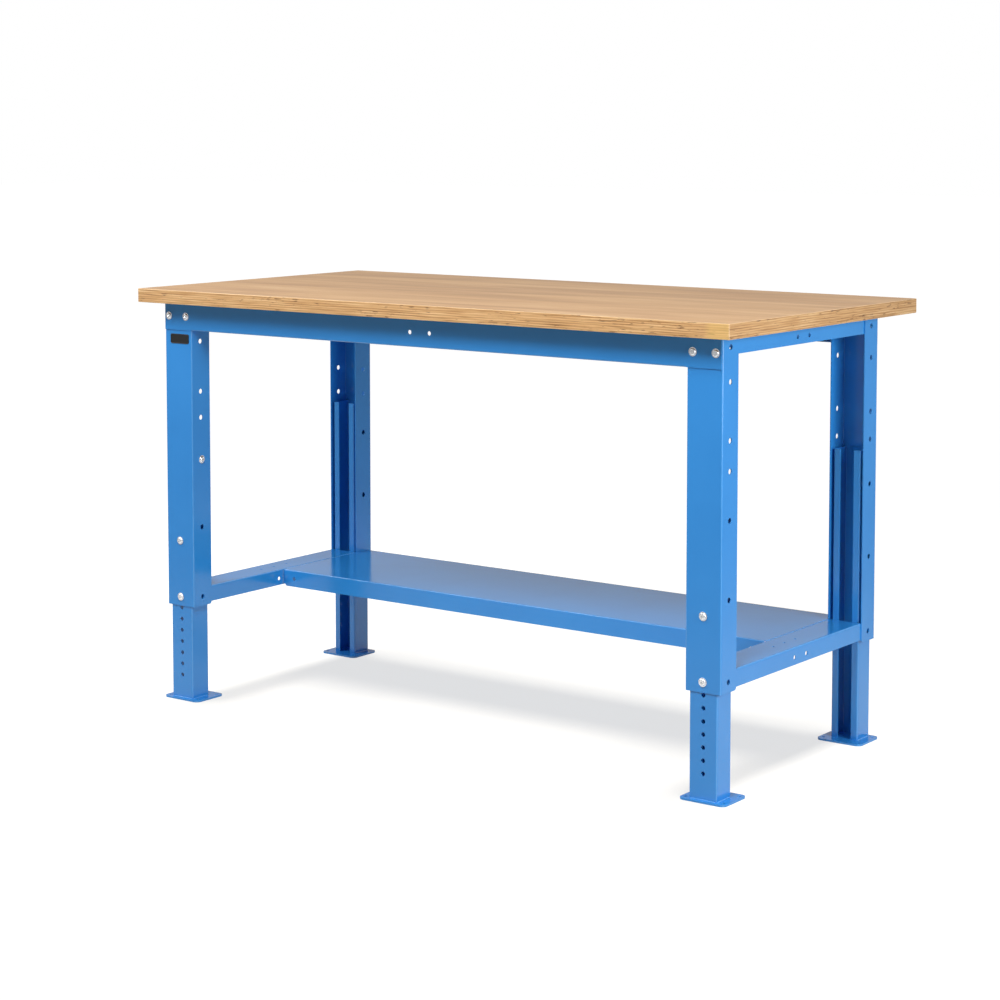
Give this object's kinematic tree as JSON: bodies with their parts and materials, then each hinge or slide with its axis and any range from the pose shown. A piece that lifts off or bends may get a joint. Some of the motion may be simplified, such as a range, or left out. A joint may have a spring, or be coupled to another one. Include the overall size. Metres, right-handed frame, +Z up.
{
  "type": "height adjustable workbench",
  "caption": "Workbench with a plywood top on a blue folded steel frame, telescoping legs set by bolts through rows of holes, and a half depth lower shelf.",
  "frame": {"origin": "centre of the worktop's footprint, at the floor", "axes": "+X along the bench's length, -Y towards the front, +Z up"},
  "size_m": [1.5, 0.75, 0.91],
  "materials": {
    "plywood": "lacquered beech multiplex plywood",
    "blue_powder_coat": "light blue gloss powder coat on folded sheet steel",
    "zinc_steel": "bright zinc plated steel",
    "badge_black": "black plastic badge"
  },
  "bodies": {
    "leg_front_left": {"inner_leg_front_left": "blue_powder_coat", "foot_plate_front_left": "blue_powder_coat"},
    "bench_frame": {"worktop": "plywood", "worktop_screws": "zinc_steel", "front_rail": "blue_powder_coat", "rear_rail": "blue_powder_coat", "shelf": "blue_powder_coat", "bonding_bolt": "zinc_steel", "bonding_nut": "zinc_steel", "badge": "badge_black", "upper_side_rail_left": "blue_powder_coat", "upper_side_rail_right": "blue_powder_coat", "lower_side_rail_left": "blue_powder_coat", "lower_side_rail_right": "blue_powder_coat", "shelf_bolts_left": "zinc_steel", "shelf_bolts_right": "zinc_steel", "shelf_nuts_left": "zinc_steel", "shelf_nuts_right": "zinc_steel", "upright_front_left": "blue_powder_coat", "upright_front_right": "blue_powder_coat", "upright_rear_left": "blue_powder_coat", "upright_rear_right": "blue_powder_coat", "rail_bolts_front_left": "zinc_steel", "rail_bolts_front_right": "zinc_steel", "rail_bolts_rear_left": "zinc_steel", "rail_bolts_rear_right": "zinc_steel", "rail_nuts_front_left": "zinc_steel", "rail_nuts_front_right": "zinc_steel", "rail_nuts_rear_left": "zinc_steel", "rail_nuts_rear_right": "zinc_steel", "lock_bolts_front_left": "zinc_steel", "lock_bolts_front_right": "zinc_steel", "lock_bolts_rear_left": "zinc_steel", "lock_bolts_rear_right": "zinc_steel", "lock_nuts_front_left": "zinc_steel", "lock_nuts_front_right": "zinc_steel", "lock_nuts_rear_left": "zinc_steel", "lock_nuts_rear_right": "zinc_steel"},
    "leg_front_right": {"inner_leg_front_right": "blue_powder_coat", "foot_plate_front_right": "blue_powder_coat"},
    "leg_rear_left": {"inner_leg_rear_left": "blue_powder_coat", "foot_plate_rear_left": "blue_powder_coat"},
    "leg_rear_right": {"inner_leg_rear_right": "blue_powder_coat", "foot_plate_rear_right": "blue_powder_coat"}
  },
  "joints": [
    {"name": "leg_slide_front_left", "type": "slide", "parent": "leg_front_left", "child": "bench_frame", "axis": [0, 0, 1], "range_m": [-0.175, 0.125]},
    {"name": "leg_slide_front_right", "type": "slide", "parent": "bench_frame", "child": "leg_front_right", "axis": [0, 0, -1], "range_m": [-0.175, 0.125]},
    {"name": "leg_slide_rear_left", "type": "slide", "parent": "bench_frame", "child": "leg_rear_left", "axis": [0, 0, -1], "range_m": [-0.175, 0.125]},
    {"name": "leg_slide_rear_right", "type": "slide", "parent": "bench_frame", "child": "leg_rear_right", "axis": [0, 0, -1], "range_m": [-0.175, 0.125]}
  ]
}
